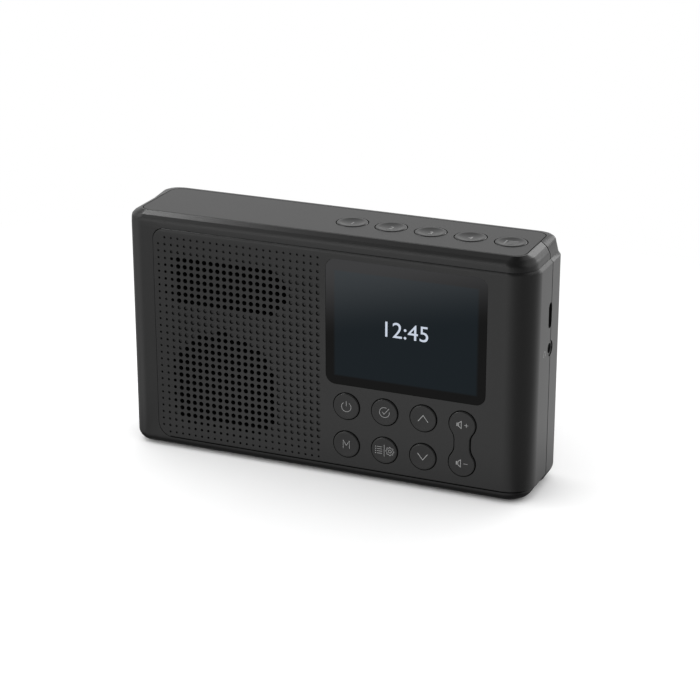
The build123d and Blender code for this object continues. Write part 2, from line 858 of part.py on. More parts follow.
def screws(name, seats, length, radius, head_radius, head):
    # One head on its seat and one shank per place; each seat's normal points out of the heads
    with BuildPart() as group:
        for plane, spots in seats:
            with BuildSketch(plane):
                with Locations(*spots):
                    Circle(head_radius)
            extrude(amount=head)
            with BuildSketch(plane):
                with Locations(*spots):
                    Circle(radius - running_gap)
            extrude(amount=-length)
    finish(group.part, name)


def facing_back(y):
    # Plane at a depth whose normal points to the back; its own x runs to the left
    return Plane(origin=(0, y, 0), x_dir=(-1, 0, 0), z_dir=(0, 1, 0))


def flipped(spots):
    return [(-x, z) for x, z in spots]


screws(
    "speaker_screws",
    [(facing_back(speaker_face + speaker_flange), flipped(clamp_spots))],
    speaker_flange,
    screw_radius,
    clamp_head_radius,
    screw_head,
)
holder_seat = front_y + panel_thickness + module_thickness + holder_thickness
screws(
    "holder_screws",
    [(facing_back(holder_seat), flipped(holder_spots))],
    holder_thickness + module_thickness - joint_gap,
    screw_radius,
    screw_head_radius,
    screw_head,
)
top_board_seat = Plane(origin=(0, 0, top_board_face - board_thickness), x_dir=(1, 0, 0), z_dir=(0, 0, -1))
screws(
    "board_screws",
    [
        (facing_back(key_board_face + board_thickness), flipped(key_board_spots)),
        (top_board_seat, [(x, -y) for x, y in top_board_spots]),
        (Plane.XZ.offset(-main_board_rear + main_board_thickness), main_board_spots),
    ],
    screw_grip,
    screw_radius,
    screw_head_radius,
    screw_head,
)
screws(
    "case_screws",
    [(facing_back(seam_y + well_floor), flipped(case_screw_spots))],
    case_screw_length,
    case_screw_radius,
    case_screw_head_radius,
    case_screw_head,
)

# Boards
with BuildPart() as key_board:
    with BuildSketch(Plane.XZ.offset(-key_board_face)):
        with Locations((key_board_x, (key_board_bottom + key_board_top) / 2)):
            Rectangle(key_board_width, key_board_top - key_board_bottom)
        with Locations(*key_board_spots):
            Circle(screw_radius + rest_gap, mode=Mode.SUBTRACT)
    extrude(amount=-board_thickness)
finish(key_board.part, "key_board")

with BuildPart() as top_board:
    with BuildSketch(Plane.XY.offset(top_board_face)):
        with Locations((top_board_x, top_key_y)):
            Rectangle(top_board_length, top_board_width)
        with Locations(*top_board_spots):
            Circle(screw_radius + rest_gap, mode=Mode.SUBTRACT)
    extrude(amount=-board_thickness)
finish(top_board.part, "top_board")

with BuildPart() as main_board:
    with BuildSketch(Plane.XZ.offset(-main_board_rear)):
        with Locations(((main_board_left + main_board_right) / 2, (main_board_bottom + main_board_top) / 2)):
            Rectangle(main_board_right - main_board_left, main_board_top - main_board_bottom)
        with Locations(((main_board_right + socket_tab_right) / 2, (socket_tab_bottom + socket_tab_top) / 2)):
            Rectangle(socket_tab_right - main_board_right, socket_tab_top - socket_tab_bottom)
        with Locations(*main_board_spots):
            Circle(screw_radius + rest_gap, mode=Mode.SUBTRACT)
    extrude(amount=main_board_thickness)
finish(main_board.part, "main_board")

with BuildPart() as radio_module:
    with BuildSketch(Plane.XZ.offset(-main_board_rear)):
        with Locations((right_x - radio_can_inset, radio_can_z)):
            RectangleRounded(radio_can_width, radio_can_height, board_thickness)
    extrude(amount=-radio_can_depth)
finish(radio_module.part, "radio_module")


def switches(name, plane, spots):
    # Square switch bodies, each with a blind hole for its plunger; the plane's normal points at the keys
    with BuildPart() as group:
        with BuildSketch(plane):
            with Locations(*spots):
                Rectangle(switch_side, switch_side)
        extrude(amount=switch_height)
        with BuildSketch(plane.offset(switch_height)):
            with Locations(*spots):
                Circle(plunger_radius + switch_clearance)
        extrude(amount=-switch_bore_depth, mode=Mode.SUBTRACT)
    finish(group.part, name)


rocker_spots = [(rocker_x, key_row), (rocker_x, key_row + key_step)]
switches("key_switches", Plane.XZ.offset(-key_board_face), [key_spot(name) for name in keys] + rocker_spots)
top_key_spots = [(top_key_x + step * top_key_step, top_key_y) for step in range(5)]
switches("top_switches", Plane.XY.offset(top_board_face), top_key_spots)


def push_button(name, plane, cap_radius, skirt, raised, dish, rim):
    # A dished cap with a flange behind the wall and a stem; the plane's y axis points out of the case
    shoulder = cap_radius - key_edge
    dish_radius = shoulder - rim
    flange_front = -skirt - rest_gap
    flange_back = flange_front - flange_thickness
    stem_end = flange_back - stem_length
    bevel = key_edge * (1 - cos(radians(45)))
    with BuildPart() as button:
        with BuildSketch(plane):
            with BuildLine():
                ThreePointArc(
                    (0, raised - dish),
                    (dish_radius / 2, raised - dish * 0.75),
                    (dish_radius, raised),
                )
                Line((dish_radius, raised), (shoulder, raised))
                ThreePointArc(
                    (shoulder, raised),
                    (cap_radius - bevel, raised - bevel),
                    (cap_radius, raised - key_edge),
                )
                Polyline(
                    (cap_radius, raised - key_edge),
                    (cap_radius, flange_front),
                    (cap_radius + flange_over, flange_front),
                    (cap_radius + flange_over, flange_back),
                    (stem_radius, flange_back),
                    (stem_radius, stem_end),
                    (0, stem_end),
                    (0, raised - dish),
                )
            make_face()
        revolve(axis=Axis(plane.origin, plane.y_dir))
    finish(button.part, f"{name}_button")
    with BuildPart() as plunger:
        with BuildSketch(plane):
            with Locations((plunger_radius / 2, stem_end - (plunger_out + plunger_in) / 2)):
                Rectangle(plunger_radius, plunger_out + plunger_in)
        revolve(axis=Axis(plane.origin, plane.y_dir))
    finish(plunger.part, f"{name}_plunger")


for name in keys:
    x, z = key_spot(name)
    plane = Plane(origin=(x, front_y, z), x_dir=(1, 0, 0), z_dir=(0, 0, -1))
    push_button(name, plane, key_radius, wall_depth, key_raise, key_dish, key_rim)
for number, (x, y) in enumerate(top_key_spots, 1):
    plane = Plane(origin=(x, y, case_top), x_dir=(1, 0, 0), z_dir=(0, -1, 0))
    cap_form = (top_key_raise, top_key_dish, top_key_rim)
    push_button(f"preset_{number}", plane, top_key_radius, plate_thickness, *cap_form)

# Volume rocker: two round ends, tipping on trunnions at its waist
with BuildPart() as volume_rocker:
    extrude(rocker_outline(0), amount=key_raise)
    fillet(volume_rocker.faces().sort_by(Axis.Y)[0].edges(), key_edge)
    extrude(rocker_outline(0), amount=-(wall_depth + rocker_drop))
    with BuildSketch(Plane.XZ.offset(-front_y - wall_depth - rocker_drop)):
        with Locations(*rocker_spots):
            Circle(key_radius + flange_over)
        with Locations((rocker_x, rocker_z)):
            Rectangle(rocker_waist + 2 * flange_over, key_step)
    extrude(amount=-flange_thickness)
    with BuildSketch(Plane.XZ.offset(-front_y - wall_depth - rocker_drop - flange_thickness)):
        with Locations(*rocker_spots):
            Circle(stem_radius)
    extrude(amount=-(plunger_start - wall_depth - rocker_drop - flange_thickness))
    with Locations(Plane(origin=(rocker_x, trunnion_y, rocker_z), z_dir=(1, 0, 0))):
        Cylinder(trunnion_radius, rocker_waist + 2 * (flange_over + trunnion_reach))
finish(volume_rocker.part, "volume_rocker")

with BuildPart() as rocker_plungers:
    with BuildSketch(Plane.XZ.offset(-front_y - plunger_start)):
        with Locations(*rocker_spots):
            Circle(plunger_radius)
    extrude(amount=-(plunger_out + plunger_in))
finish(rocker_plungers.part, "rocker_plungers")

# Sockets on the main board, facing right
usb_mouth = main.right - panel_thickness
with BuildPart() as usb_socket:
    with BuildSketch(Plane.YZ.offset(usb_mouth)):
        with Locations((usb_y, usb_z)):
            SlotOverall(usb_width, usb_height, rotation=90)
    extrude(amount=-usb_length)
    with BuildSketch(Plane.YZ.offset(usb_mouth)):
        with Locations((usb_y, usb_z)):
            SlotOverall(usb_width - 2 * usb_skin, usb_height - 2 * usb_skin, rotation=90)
            Rectangle(usb_tongue, usb_width - 6 * usb_skin, mode=Mode.SUBTRACT)
    extrude(amount=-(usb_length - 2 * usb_skin), mode=Mode.SUBTRACT)
finish(usb_socket.part, "usb_socket")

jack_mouth = main.right - jack_recess
jack_shoulder = cavity.right - joint_gap
with BuildPart() as headphone_socket:
    with BuildSketch(Plane.YZ.offset(jack_shoulder)):
        with Locations((jack_y, jack_z)):
            Rectangle(jack_body_depth, jack_body_width)
    extrude(amount=-jack_body_length)
    with BuildSketch(Plane.YZ.offset(jack_shoulder)):
        with Locations((jack_y, jack_z)):
            Circle(jack_barrel)
    extrude(amount=jack_mouth - jack_shoulder)
    with BuildSketch(Plane.YZ.offset(jack_mouth)):
        with Locations((jack_y, jack_z)):
            Circle(jack_bore)
    extrude(amount=-jack_bore_length, mode=Mode.SUBTRACT)
finish(headphone_socket.part, "headphone_socket")

# Rechargeable cell in its saddles
with BuildPart() as battery_cell:
    with BuildSketch(Plane.YZ.offset(cell_left)):
        with Locations((cell_y, cell_z)):
            Circle(cell_radius)
    extrude(amount=cell_length)
    with BuildSketch(Plane.YZ.offset(cell_left + cell_length)):
        with Locations((cell_y, cell_z)):
            Circle(cell_cap_radius)
    extrude(amount=cell_cap)
finish(battery_cell.part, "battery_cell")

# Antenna: everything is turned about one line along X
swivel_right = channel_end - swivel_gap
swivel_left = swivel_right - swivel_length
root_right = channel_end - root_inset
root_left = root_right - root_length
tube_end = left_x + tube_inset
shaft_end = channel_end + end_wall + running_gap + nut_thickness

with BuildPart() as antenna_swivel:
    with BuildSketch(antenna_plane.offset(swivel_left)):
        Circle(swivel_radius)
    extrude(amount=swivel_right - swivel_left)
    with BuildSketch(antenna_plane.offset(swivel_right)):
        Circle(shaft_radius)
    extrude(amount=shaft_end - swivel_right)
    with BuildSketch(Plane.XY.offset(channel_z)):
        with Locations((swivel_left + fork_depth / 2, antenna_y)):
            Rectangle(fork_depth, 2 * swivel_radius)
    extrude(amount=fork_slot / 2, both=True, mode=Mode.SUBTRACT)
    with Locations((pivot_x, antenna_y, channel_z)):
        Cylinder(pivot_radius, 2 * swivel_radius, mode=Mode.SUBTRACT)
finish(antenna_swivel.part, "antenna_swivel")

with BuildPart() as antenna_pin:
    with Locations((pivot_x, antenna_y, channel_z)):
        Cylinder(pivot_radius, 2 * swivel_radius - 2 * swivel_gap)
finish(antenna_pin.part, "antenna_pin")

with BuildPart() as antenna_nut:
    with BuildSketch(antenna_plane.offset(shaft_end - nut_thickness)):
        Circle(nut_radius)
        Circle(shaft_radius, mode=Mode.SUBTRACT)
    extrude(amount=nut_thickness)
finish(antenna_nut.part, "antenna_nut")

with BuildPart() as antenna_root:
    with BuildSketch(Plane.XY.offset(channel_z)):
        with Locations((pivot_x, antenna_y)):
            Circle(tongue_radius)
        with Locations(((pivot_x + root_right) / 2, antenna_y)):
            Rectangle(pivot_x - root_right, 2 * tongue_radius)
        with Locations((pivot_x, antenna_y)):
            Circle(pivot_radius + running_gap, mode=Mode.SUBTRACT)
    extrude(amount=tongue_thickness / 2, both=True)
    with BuildSketch(antenna_plane.offset(root_left)):
        Circle(tube_radius - tube_wall)
    extrude(amount=root_right - root_left)
finish(antenna_root.part, "antenna_root")

inner_radius = tube_radius - tube_wall
with BuildPart() as antenna_tube:
    with BuildSketch(antenna_plane.offset(tube_end)):
        Circle(tube_radius)
        Circle(inner_radius, mode=Mode.SUBTRACT)
    extrude(amount=root_right - tube_end)
finish(antenna_tube.part, "antenna_tube")

right = root_left
left = tube_end
for number in range(1, sections + 1):
    outer_radius = inner_radius - running_gap
    inner_radius = outer_radius - tube_wall
    right = right - joint_gap
    left = left - section_step
    with BuildPart() as section:
        with BuildSketch(antenna_plane.offset(left)):
            Circle(outer_radius)
            if number < sections:
                Circle(inner_radius, mode=Mode.SUBTRACT)
        extrude(amount=right - left)
    finish(section.part, f"antenna_section_{number}")

with BuildPart() as antenna_tip:
    with BuildSketch(antenna_plane.offset(left)):
        Circle(tip_radius)
    extrude(amount=-tip_length)
    fillet(antenna_tip.faces().sort_by(Axis.X)[0].edges(), tip_length / 2)
finish(antenna_tip.part, "antenna_tip")
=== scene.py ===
import bpy, json, math
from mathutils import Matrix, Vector


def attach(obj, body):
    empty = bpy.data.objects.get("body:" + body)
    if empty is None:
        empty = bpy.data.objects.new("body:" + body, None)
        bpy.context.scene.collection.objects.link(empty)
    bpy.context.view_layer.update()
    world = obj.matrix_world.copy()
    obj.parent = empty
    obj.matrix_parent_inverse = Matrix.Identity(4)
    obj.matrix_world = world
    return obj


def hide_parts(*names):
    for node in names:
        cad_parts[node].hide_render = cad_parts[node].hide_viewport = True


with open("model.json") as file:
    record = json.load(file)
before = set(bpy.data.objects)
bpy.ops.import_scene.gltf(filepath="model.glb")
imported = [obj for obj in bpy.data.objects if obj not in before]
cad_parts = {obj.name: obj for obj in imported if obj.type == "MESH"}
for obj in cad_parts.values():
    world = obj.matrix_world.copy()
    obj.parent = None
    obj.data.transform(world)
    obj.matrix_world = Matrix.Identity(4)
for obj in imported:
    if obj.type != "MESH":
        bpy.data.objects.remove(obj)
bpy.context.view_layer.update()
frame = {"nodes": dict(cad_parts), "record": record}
nodes = frame["nodes"]
mm = 0.001
bodyOf = {node: body for body, names in frame["record"]["behaviour"]["bodies"].items() for node in names}
slotOf = {part["node"]: part["material_slot"] for part in frame["record"]["subparts"]}


def boxOf(name):
    corners = [nodes[name].matrix_world @ Vector(c) for c in nodes[name].bound_box]
    low = Vector([min(c[i] for c in corners) for i in range(3)])
    return low, Vector([max(c[i] for c in corners) for i in range(3)])


def middleOf(name):
    low, high = boxOf(name)
    return (low + high) / 2


frontY = boxOf("front_panel")[0].y
topZ = boxOf("top_panel")[1].z
rightX = boxOf("front_panel")[1].x
print("frame loaded,", len(nodes), "nodes")


def hexColour(text):
    # sRGB hex to linear
    parts = [int(text[i:i + 2], 16) / 255 for i in (1, 3, 5)]
    return [p / 12.92 if p <= 0.04045 else ((p + 0.055) / 1.055) ** 2.4 for p in parts] + [1.0]


def toned(colour, share):
    # the same colour, darker or paler
    return [c * share for c in colour[:3]] + [1]


def addNode(tree, kind, settings=None, links=None):
    # settings go to attributes or inputs by name, links come from (node, output)
    node = tree.nodes.new(kind)
    for key, value in (settings or {}).items():
        if isinstance(key, str) and hasattr(node, key):
            setattr(node, key, value)
        else:
            node.inputs[key].default_value = value
    for key, (source, output) in (links or {}).items():
        tree.links.new(source.outputs[output], node.inputs[key])
    return node


def startMaterial(name):
    material = bpy.data.materials.new(name)
    material.use_nodes = True
    tree = material.node_tree
    return material, tree, tree.nodes["Principled BSDF"], addNode(tree, "ShaderNodeTexCoord")


def perMm(size):
    # texture scale for a feature of this many millimetres
    return 1 / (size * mm)


def clearSelection():
    if bpy.context.object and bpy.context.object.mode != "OBJECT":
        bpy.ops.object.mode_set(mode="OBJECT")
    bpy.ops.object.select_all(action="DESELECT")


def makeActive(obj):
    clearSelection()
    obj.select_set(True)
    bpy.context.view_layer.objects.active = obj


def bakePlace(obj):
    makeActive(obj)
    bpy.ops.object.transform_apply(location=True, rotation=True, scale=True)


def applyAll(obj):
    makeActive(obj)
    for modifier in list(obj.modifiers):
        bpy.ops.object.modifier_apply(modifier=modifier.name)


def finishPiece(obj, name, body, material):
    obj.name = name
    obj.data.materials.clear()
    obj.data.materials.append(material)
    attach(obj, body)


# injection moulded ABS or nylon with a spark-eroded skin: dark, with a soft sheen and a fine even grain
plasticLooks = {
    "case_plastic": {"name": "satinAbsCase", "colour": "#0b0b0b", "grain": 0.30, "depth": 0.004,
                     "rough": 0.36, "shine": 0.46},
    "panel_plastic": {"name": "satinAbsPanel", "colour": "#0b0b0b", "grain": 0.30, "depth": 0.004,
                      "rough": 0.38, "shine": 0.46},
    "top_plastic": {"name": "satinAbsTop", "colour": "#0c0c0c", "grain": 0.28, "depth": 0.006,
                    "rough": 0.40, "shine": 0.4},
    "key_plastic": {"name": "satinAbsKeys", "colour": "#090909", "grain": 0.24, "depth": 0.004,
                    "rough": 0.36, "shine": 0.44},
    "top_key_plastic": {"name": "satinAbsTopKeys", "colour": "#0b0b0b", "grain": 0.24, "depth": 0.004,
                        "rough": 0.34, "shine": 0.4},
    "holder_plastic": {"name": "absHolder", "colour": "#38383a", "grain": 0.6, "depth": 0.01,
                       "rough": 0.55, "shine": 0.5},
    "switch_plastic": {"name": "nylonSwitch", "colour": "#2a2a2c", "grain": 0.4, "depth": 0.008,
                       "rough": 0.5, "shine": 0.5},
    "socket_plastic": {"name": "nylonSocket", "colour": "#1c1c1d", "grain": 0.4, "depth": 0.006,
                       "rough": 0.4, "shine": 0.5},
}
# faint flow clouds in the tone, and an even spread of gloss
flowLook = {"cloud": 14, "tones": (0.88, 1.12), "glossSpread": 0.05}


def mouldedPlastic(look):
    # the grain is drawn coarser than the real 0.05 mm so that it shows
    material, tree, shader, coords = startMaterial(look["name"])
    cloud = addNode(tree, "ShaderNodeTexNoise", {"Scale": perMm(flowLook["cloud"]), "Detail": 3.0},
                    {"Vector": (coords, "Object")})
    skin = addNode(tree, "ShaderNodeTexNoise", {"Scale": perMm(look["grain"]), "Detail": 2.0},
                   {"Vector": (coords, "Object")})
    dark, pale = [toned(hexColour(look["colour"]), share) for share in flowLook["tones"]]
    tone = addNode(tree, "ShaderNodeMix", {"data_type": "RGBA", 6: dark, 7: pale}, {"Factor": (cloud, "Fac")})
    gloss = addNode(tree, "ShaderNodeMapRange", {"To Min": look["rough"] - flowLook["glossSpread"],
                                                 "To Max": look["rough"] + flowLook["glossSpread"]},
                    {"Value": (skin, "Fac")})
    bump = addNode(tree, "ShaderNodeBump", {"Distance": look["depth"] * mm}, {"Height": (skin, "Fac")})
    tree.links.new(tone.outputs[2], shader.inputs["Base Color"])
    tree.links.new(gloss.outputs["Result"], shader.inputs["Roughness"])
    tree.links.new(bump.outputs["Normal"], shader.inputs["Normal"])
    shader.inputs["Specular IOR Level"].default_value = look["shine"]
    return material


# plated, painted or drawn metal: an even reflection with fine drawing lines
metalLooks = {
    "basket_steel": {"name": "paintedSteelBasket", "colour": "#2b2b2d", "rough": 0.5, "metal": 0.0, "line": 0.4},
    "magnet_steel": {"name": "zincPlatedMagnet", "colour": "#a8a8aa", "rough": 0.38, "metal": 1.0, "line": 0.5},
    "screw_steel": {"name": "blackZincScrew", "colour": "#5b5b5e", "rough": 0.34, "metal": 1.0, "line": 0.3},
    "shield_tin": {"name": "tinnedShield", "colour": "#c4c4c2", "rough": 0.3, "metal": 1.0, "line": 0.6},
    "socket_steel": {"name": "nickelPlatedSocket", "colour": "#b4b2ae", "rough": 0.28, "metal": 1.0, "line": 0.3},
    "antenna_chrome": {"name": "chromedBrassAntenna", "colour": "#dcdcdc", "rough": 0.12, "metal": 1.0,
                       "line": 0.25},
}
drawnLook = {"stretch": (0.04, 1.0, 1.0), "gloss": (0.8, 1.25), "strength": 0.3, "depth": 0.004}


def platedMetal(look):
    material, tree, shader, coords = startMaterial(look["name"])
    stretch = addNode(tree, "ShaderNodeMapping", {"Scale": drawnLook["stretch"]}, {"Vector": (coords, "Object")})
    lines = addNode(tree, "ShaderNodeTexNoise", {"Scale": perMm(look["line"]), "Detail": 2.0},
                    {"Vector": (stretch, "Vector")})
    low, high = [look["rough"] * share for share in drawnLook["gloss"]]
    gloss = addNode(tree, "ShaderNodeMapRange", {"To Min": low, "To Max": high}, {"Value": (lines, "Fac")})
    bump = addNode(tree, "ShaderNodeBump", {"Strength": drawnLook["strength"], "Distance": drawnLook["depth"] * mm},
                   {"Height": (lines, "Fac")})
    shader.inputs["Base Color"].default_value = hexColour(look["colour"])
    shader.inputs["Metallic"].default_value = look["metal"]
    tree.links.new(gloss.outputs["Result"], shader.inputs["Roughness"])
    tree.links.new(bump.outputs["Normal"], shader.inputs["Normal"])
    return material


mottledLooks = {
    # moulded silicone rubber: dull and dark, with a slightly dusty bloom
    "foot_rubber": {"name": "siliconeFoot", "colours": ("#1a1a1a", "#272727"), "size": 1.2, "detail": 4.0,
                    "twist": 0.0, "depth": 0.02, "rough": 0.8},
    # glass of the display panel behind the lens: smooth, dark, faintly mottled
    "display_glass": {"name": "displayGlass", "colours": ("#0b0c0e", "#15181c"), "size": 8, "detail": 2.0,
                      "twist": 0.0, "depth": 0, "rough": 0.15},
    # pressed paper pulp: fibrous and dull
    "cone_paper": {"name": "pulpCone", "colours": ("#1c1b1a", "#33312f"), "size": 0.8, "detail": 5.0,
                   "twist": 1.5, "depth": 0.05, "rough": 0.85},
    # heat-shrunk vinyl sleeve: bright and slightly wrinkled
    "cell_wrap": {"name": "vinylCellWrap", "colours": ("#24528a", "#2d5f9c"), "size": 6, "detail": 2.0,
                  "twist": 0.0, "depth": 0.1, "rough": 0.3},
}


def mottledStuff(look):
    material, tree, shader, coords = startMaterial(look["name"])
    spots = addNode(tree, "ShaderNodeTexNoise", {"Scale": perMm(look["size"]), "Detail": look["detail"],
                                                 "Distortion": look["twist"]}, {"Vector": (coords, "Object")})
    dark, pale = [hexColour(c) for c in look["colours"]]
    tone = addNode(tree, "ShaderNodeMix", {"data_type": "RGBA", 6: dark, 7: pale}, {"Factor": (spots, "Fac")})
    tree.links.new(tone.outputs[2], shader.inputs["Base Color"])
    shader.inputs["Roughness"].default_value = look["rough"]
    if look["depth"]:
        bump = addNode(tree, "ShaderNodeBump", {"Distance": look["depth"] * mm}, {"Height": (spots, "Fac")})
        tree.links.new(bump.outputs["Normal"], shader.inputs["Normal"])
    return material


# smoked acrylic lens over a dimly lit display, with a painted reflection in its emission
lensLook = {
    "centre": (30.15, 56.6), "half": (25.55, 18.7), "rough": 0.06, "specular": 0.07, "base": "#030303",
    # border colours are a painted reflection on the unlit border; active colours are the display's glow with a
    # painted reflection on it
    "border": ("#080808", "#3a3a3b"), "active": ("#10181d", "#373b3e"),
    # the lit edge, then the way and reach of the painted reflection
    "edge": (0.985, 1.02), "paler": (-0.25, 0, 0.85), "palest": 1.2,
}


def lensAcrylic(look):
    # polished and nearly black: the lit area shows blue-grey inside a black border, and a painted reflection makes
    # the emission of both paler towards the upper left
    material, tree, shader, coords = startMaterial("smokedAcrylicLens")
    (x, z), (wide, high) = look["centre"], look["half"]
    place = addNode(tree, "ShaderNodeMapping",
                    {"Location": (-x / wide, 0, -z / high), "Scale": (perMm(wide), 0, perMm(high))},
                    {"Vector": (coords, "Object")})
    reach = addNode(tree, "ShaderNodeVectorMath", {"operation": "ABSOLUTE"}, {0: (place, "Vector")})
    sides = addNode(tree, "ShaderNodeSeparateXYZ", {}, {"Vector": (reach, "Vector")})
    far = addNode(tree, "ShaderNodeMath", {"operation": "MAXIMUM"}, {0: (sides, "X"), 1: (sides, "Z")})
    lit = addNode(tree, "ShaderNodeMapRange", {"From Min": look["edge"][0], "From Max": look["edge"][1],
                                               "To Min": 1.0, "To Max": 0.0}, {"Value": (far, "Value")})
    # painted reflection: how far each point lies towards the upper left
    reflectionSlope = addNode(tree, "ShaderNodeVectorMath", {"operation": "DOT_PRODUCT", 1: look["paler"]},
                    {0: (place, "Vector")})
    fade = addNode(tree, "ShaderNodeMapRange", {"interpolation_type": "SMOOTHSTEP", "From Min": 0.0,
                                                "From Max": look["palest"]}, {"Value": (reflectionSlope, "Value")})
    border, active = [addNode(tree, "ShaderNodeMix",
                              {"data_type": "RGBA", 6: hexColour(look[part][0]), 7: hexColour(look[part][1])},
                              {"Factor": (fade, "Result")}) for part in ("border", "active")]
    # emission: painted reflection on the border, and glow with painted reflection in the lit area
    glowAndReflection = addNode(tree, "ShaderNodeMix", {"data_type": "RGBA"},
                   {"Factor": (lit, "Result"), 6: (border, 2), 7: (active, 2)})
    tree.links.new(glowAndReflection.outputs[2], shader.inputs["Emission Color"])
    shader.inputs["Emission Strength"].default_value = 1.0
    shader.inputs["Base Color"].default_value = hexColour(look["base"])
    shader.inputs["Roughness"].default_value = look["rough"]
    shader.inputs["Specular IOR Level"].default_value = look["specular"]
    return material


litLook = {"cell": 0.3, "colours": ("#e2e9f4", "#c3d0e4"), "strength": 0.8, "base": "#2a2e34"}


def litSegment(look):
    # lit pixels of the display: pale, slightly blue
    material, tree, shader, coords = startMaterial("litPixels")
    cells = addNode(tree, "ShaderNodeTexVoronoi", {"Scale": perMm(look["cell"])}, {"Vector": (coords, "Object")})
    middle, edge = [hexColour(c) for c in look["colours"]]
    tone = addNode(tree, "ShaderNodeMix", {"data_type": "RGBA", 6: middle, 7: edge}, {"Factor": (cells, "Distance")})
    tree.links.new(tone.outputs[2], shader.inputs["Emission Color"])
    shader.inputs["Emission Strength"].default_value = look["strength"]
    shader.inputs["Base Color"].default_value = hexColour(look["base"])
    return material


inkLook = {"wear": 0.4, "thin": 0.8, "rough": 0.5}


def printInk(name, colour, look):
    # pad printed pale ink, a little thin in places
    material, tree, shader, coords = startMaterial(name)
    wear = addNode(tree, "ShaderNodeTexNoise", {"Scale": perMm(look["wear"]), "Detail": 3.0},
                   {"Vector": (coords, "Object")})
    base = hexColour(colour)
    tone = addNode(tree, "ShaderNodeMix", {"data_type": "RGBA", 6: toned(base, look["thin"]), 7: base},
                   {"Factor": (wear, "Fac")})
    tree.links.new(tone.outputs[2], shader.inputs["Base Color"])
    shader.inputs["Roughness"].default_value = look["rough"]
    return material


clothLook = {"thread": 0.35, "colours": ("#040404", "#0c0c0c"), "depth": 0.05, "rough": 0.95, "shine": 0.1}


def grilleCloth(look):
    # black woven acoustic cloth, its threads drawn wide enough to show
    material, tree, shader, coords = startMaterial("wovenGrilleCloth")
    waves = [addNode(tree, "ShaderNodeTexWave", {"Scale": perMm(look["thread"]) / (2 * math.pi),
                                                 "bands_direction": way}, {"Vector": (coords, "Object")})
             for way in ("X", "Z")]
    weave = addNode(tree, "ShaderNodeMath", {"operation": "MULTIPLY"}, {0: (waves[0], "Fac"), 1: (waves[1], "Fac")})
    dark, pale = [hexColour(c) for c in look["colours"]]
    tone = addNode(tree, "ShaderNodeMix", {"data_type": "RGBA", 6: dark, 7: pale}, {"Factor": (weave, "Value")})
    bump = addNode(tree, "ShaderNodeBump", {"Distance": look["depth"] * mm}, {"Height": (weave, "Value")})
    tree.links.new(tone.outputs[2], shader.inputs["Base Color"])
    tree.links.new(bump.outputs["Normal"], shader.inputs["Normal"])
    shader.inputs["Roughness"].default_value = look["rough"]
    shader.inputs["Specular IOR Level"].default_value = look["shine"]
    return material


boardLook = {"tracks": 5, "gap": 0.05, "mask": ("#0f4a2a", "#125330"), "copper": "#2a7a4c", "depth": 0.03,
             "rough": 0.35}


def boardLaminate(look):
    # glass-epoxy board under green solder mask, with copper tracks showing through as paler lines
    material, tree, shader, coords = startMaterial("solderMaskBoard")
    tracks = addNode(tree, "ShaderNodeTexBrick",
                     {"Scale": perMm(look["tracks"]), "Mortar Size": look["gap"],
                      "Color1": hexColour(look["mask"][0]), "Color2": hexColour(look["mask"][1]),
                      "Mortar": hexColour(look["copper"])}, {"Vector": (coords, "Object")})
    bump = addNode(tree, "ShaderNodeBump", {"Distance": look["depth"] * mm}, {"Height": (tracks, "Fac")})
    tree.links.new(tracks.outputs["Color"], shader.inputs["Base Color"])
    tree.links.new(bump.outputs["Normal"], shader.inputs["Normal"])
    shader.inputs["Roughness"].default_value = look["rough"]
    return material


finishes = {slot: mouldedPlastic(look) for slot, look in plasticLooks.items()}
finishes.update({slot: platedMetal(look) for slot, look in metalLooks.items()})
finishes.update({slot: mottledStuff(look) for slot, look in mottledLooks.items()})
finishes.update({"lens_acrylic": lensAcrylic(lensLook), "grille_cloth": grilleCloth(clothLook),
                 "board_laminate": boardLaminate(boardLook)})
inkPale = printInk("paleKeyInk", "#8e8e8e", inkLook)
inkGrey = printInk("greyTopInk", "#8c8c8c", inkLook)
litPixels = litSegment(litLook)
for name, slot in slotOf.items():
    slots = nodes[name].data.materials
    slots.clear()
    slots.append(finishes[slot])
print("materials set:", len(finishes))


# edges that bend by more than this stay sharp, and points closer than this, in metres, are one
smoothAngle = math.radians(30)
mergeWithin = 1e-6


def copyNode(name):
    # a CAD node's mesh as a new piece, its loose triangles joined up
    obj = nodes[name].copy()
    obj.data = nodes[name].data.copy()
    obj.parent = None
    obj.hide_render = False
    bpy.context.collection.objects.link(obj)
    makeActive(obj)
    bpy.ops.mesh.customdata_custom_splitnormals_clear()
    bpy.ops.object.mode_set(mode="EDIT")
    bpy.ops.mesh.select_all(action="SELECT")
    bpy.ops.mesh.remove_doubles(threshold=mergeWithin)
    bpy.ops.object.mode_set(mode="OBJECT")
    return obj


def smoothFaces(obj, creases=()):
    # flat faces stay flat right up to the rounded corners that run into them, and creases stay sharp
    makeActive(obj)
    bpy.ops.object.shade_smooth_by_angle(angle=smoothAngle)
    for number in creases:
        obj.data.edges[number].use_edge_sharp = True
    soft = obj.modifiers.new("soft", "WEIGHTED_NORMAL")
    soft.mode = "FACE_AREA"
    soft.keep_sharp = True
    bpy.ops.object.modifier_apply(modifier="soft")


def standFor(obj, node):
    words = node.split("_")
    name = words[0] + "".join(w.title() for w in words[1:]) + "Skin"
    finishPiece(obj, name, bodyOf[node], finishes[slotOf[node]])
    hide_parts(node)


def joinPieces(pieces):
    clearSelection()
    for piece in pieces:
        piece.select_set(True)
    bpy.context.view_layer.objects.active = pieces[0]
    if len(pieces) > 1:
        bpy.ops.object.join()
    obj = bpy.context.object
    bakePlace(obj)
    return obj


def cutFrom(piece, cutter):
    makeActive(piece)
    cut = piece.modifiers.new("cut", "BOOLEAN")
    cut.operation = "DIFFERENCE"
    cut.solver = "EXACT"
    cut.object = cutter
    bpy.ops.object.modifier_apply(modifier="cut")
    bpy.data.objects.remove(cutter)


